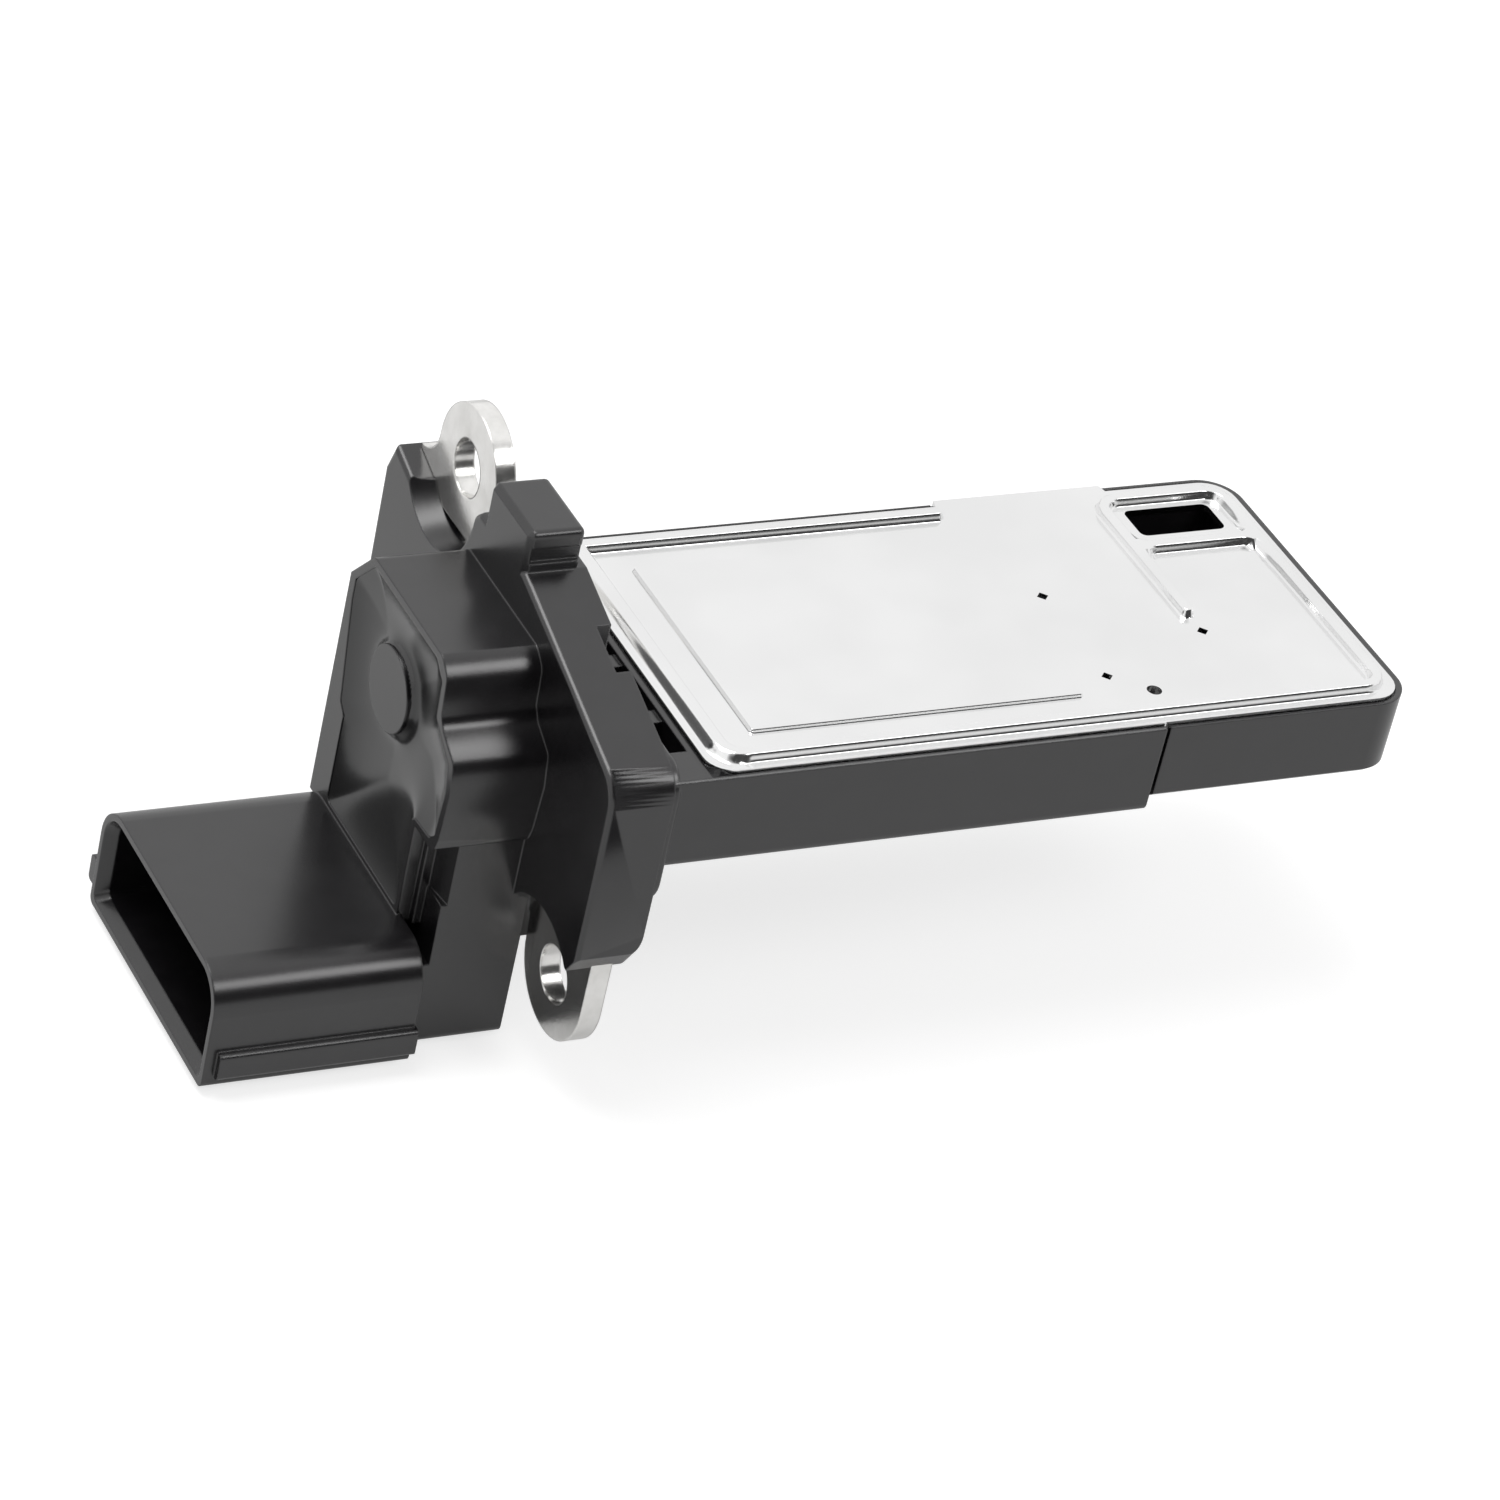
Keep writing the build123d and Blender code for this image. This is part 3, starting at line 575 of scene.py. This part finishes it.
cover(plain_finish("alumina_ceramic_fired", "#e9e8e2", "#f2f1ec", 0.6, 0.8), "circuit_board")
cover(plain_finish("silicone_adhesive_cured", "#6c6d6f", "#77787a", 0.55, 1.5),
      "board_adhesive", "plate_sealant")
cover(plain_finish("moulded_epoxy_black", "#1b1b1c", "#232324", 0.5, 0.4), "processor_chip")
cover(plain_finish("barium_titanate_fired", "#a08463", "#ad9170", 0.5, 0.4), "ceramic_capacitors")
cover(plain_finish("resistor_glaze_fired", "#17181a", "#1f2022", 0.25, 0.5), "chip_resistors")
cover(plain_finish("filled_polymer_moulded", "#26272a", "#2d2e31", 0.5, 0.5), "chip_carrier")
cover(plain_finish("silicon_polished", "#4a5160", "#566074", 0.12, 1.0), "flow_chip")
cover(plain_finish("tinned_brass_stamped", "#c9c6bd", "#d6d3cb", 0.3, 0.7, 1.0),
      *["terminal_%d" % (i + 1) for i in range(5)])

# %% [markdown]
# ## Floor
# The sensor was shot on plain white. The floor is pale, and what the camera sees of it is lifted to white
# with a little emission, while the shadow under the object stays. Glossy parts see the same floor with less
# of that lift, and it adds nothing to the plain light on the object.

# %% Floor


def paper_floor(name):
    material, add = new_material(name)
    path = add("LightPath")
    mirrored = add("Math", {"operation": "MAXIMUM"}, i0=path.outputs["Is Glossy Ray"],
                   i1=path.outputs["Is Transmission Ray"])
    shown = add("Math", {"operation": "MAXIMUM"}, i0=path.outputs["Is Camera Ray"],
                i1=mirrored.outputs["Value"])
    seen = add("BsdfDiffuse", Color=linear("#c8c8c8"))
    amount = add("MapRange", Value=path.outputs["Is Camera Ray"], To_Min=0.33, To_Max=0.70)
    lift = add("Emission", Color=linear("#ffffff"), Strength=amount.outputs["Result"])
    both = add("AddShader", i0=seen.outputs["BSDF"], i1=lift.outputs["Emission"])
    rest = add("BsdfDiffuse", Color=linear("#c0c0c0"))
    pick = add("MixShader", i0=shown.outputs["Value"], i1=rest.outputs["BSDF"],
               i2=both.outputs["Shader"])
    add("OutputMaterial", Surface=pick.outputs["Shader"])
    return material


floor_z = cad_box[0][2] - 0.2 * MM
bpy.ops.mesh.primitive_plane_add(size=6, location=(0, 0, floor_z))
floor = bpy.context.object
floor.name = "paper_floor"
floor.data.materials.append(paper_floor("white_paper_matt"))
print("floor at", round(floor_z / MM, 2), "mm")

# %% [markdown]
# ## Light
# White paper all round does most of the work, as glossy black plastic and bright metal mostly show their
# surroundings. A large soft box overhead lights the object and the floor. A smaller one in front, to the
# right, draws the soft streaks along the bulges and the rounded edge of the socket. The photographer's side
# of the room is dark above a bright horizon, and the sloping sides of the plate's beads mirror both, as dark
# lines with a light one between them.

# %% Lamps and world


def soft_box(name, place, target, size, power):
    lamp = bpy.data.lights.new(name, "AREA")
    lamp.shape = "RECTANGLE"
    lamp.size, lamp.size_y = size
    lamp.energy = power
    ob = bpy.data.objects.new(name, lamp)
    bpy.context.scene.collection.objects.link(ob)
    ob.location = place
    ob.rotation_euler = (Vector(target) - Vector(place)).to_track_quat("-Z", "Y").to_euler()
    return ob


soft_box("overhead_box", (-0.20, 0.16, 0.76), (0.01, 0, 0), (0.5, 0.5), 3.2)
soft_box("front_box", (0.34, -0.41, 0.52), (0, 0, 0), (0.36, 0.22), 1.15)

world = bpy.data.worlds.new("white_room")
bpy.context.scene.world = world
add = node_adder(world)
TO_CAMERA_SIDE = (0.0, -0.93, 0.37)
path = add("LightPath").outputs
mirrored = add("Math", {"operation": "MAXIMUM"}, i0=path["Is Glossy Ray"],
               i1=path["Is Transmission Ray"]).outputs["Value"]
shown = add("Math", {"operation": "MAXIMUM"}, i0=path["Is Camera Ray"], i1=mirrored).outputs["Value"]
dim = add("Background", Color=linear("#ffffff"), Strength=0.34).outputs["Background"]
look = add("TexCoord").outputs["Generated"]
toward = add("VectorMath", {"operation": "DOT_PRODUCT"}, i0=look, i1=TO_CAMERA_SIDE).outputs["Value"]
dark_room = add("MapRange", Value=toward, From_Min=0.50, From_Max=0.78,
                To_Min=1.0, To_Max=0.05).outputs["Result"]
height = add("SeparateXYZ", Vector=look).outputs["Z"]
horizon = add("MapRange", Value=height, From_Min=0.04, From_Max=0.08,
              To_Min=1.0, To_Max=0.0).outputs["Result"]
around = add("Math", {"operation": "MAXIMUM"}, i0=dark_room, i1=horizon).outputs["Value"]
room = add("Background", Color=linear("#ffffff"), Strength=around).outputs["Background"]
white = add("Background", Color=linear("#ffffff"), Strength=1.0).outputs["Background"]
reflected = add("MixShader", i0=path["Is Camera Ray"], i1=room, i2=white).outputs["Shader"]
surroundings = add("MixShader", i0=shown, i1=dim, i2=reflected).outputs["Shader"]
add("OutputWorld", Surface=surroundings)
bpy.context.scene.view_settings.view_transform = "Standard"
print("world nodes:", len(world.node_tree.nodes))

# %% [markdown]
# ## Camera
# The camera stands where the photographer's did, worked out from the straight edges of the sensor: in front
# of the plug end, looking down at about 34 degrees, with a long lens.

# %% Camera
lens = bpy.data.cameras.new("photo_camera")
lens.lens = 148.98
lens.sensor_width = 36.0
lens.clip_start = 0.01
camera = bpy.data.objects.new("photo_camera", lens)
bpy.context.scene.collection.objects.link(camera)
right = Vector((0.886, -0.4211, 0.1943)).normalized()
back = Vector((-0.4532, -0.6976, 0.5549)).normalized()
up = back.cross(right).normalized()
right = up.cross(back)
camera.matrix_world = Matrix.Translation((-0.1928, -0.3266, 0.2545)) @ \
    Matrix((right, up, back)).transposed().to_4x4()
bpy.context.scene.camera = camera
print("camera at", [round(v, 4) for v in camera.location])
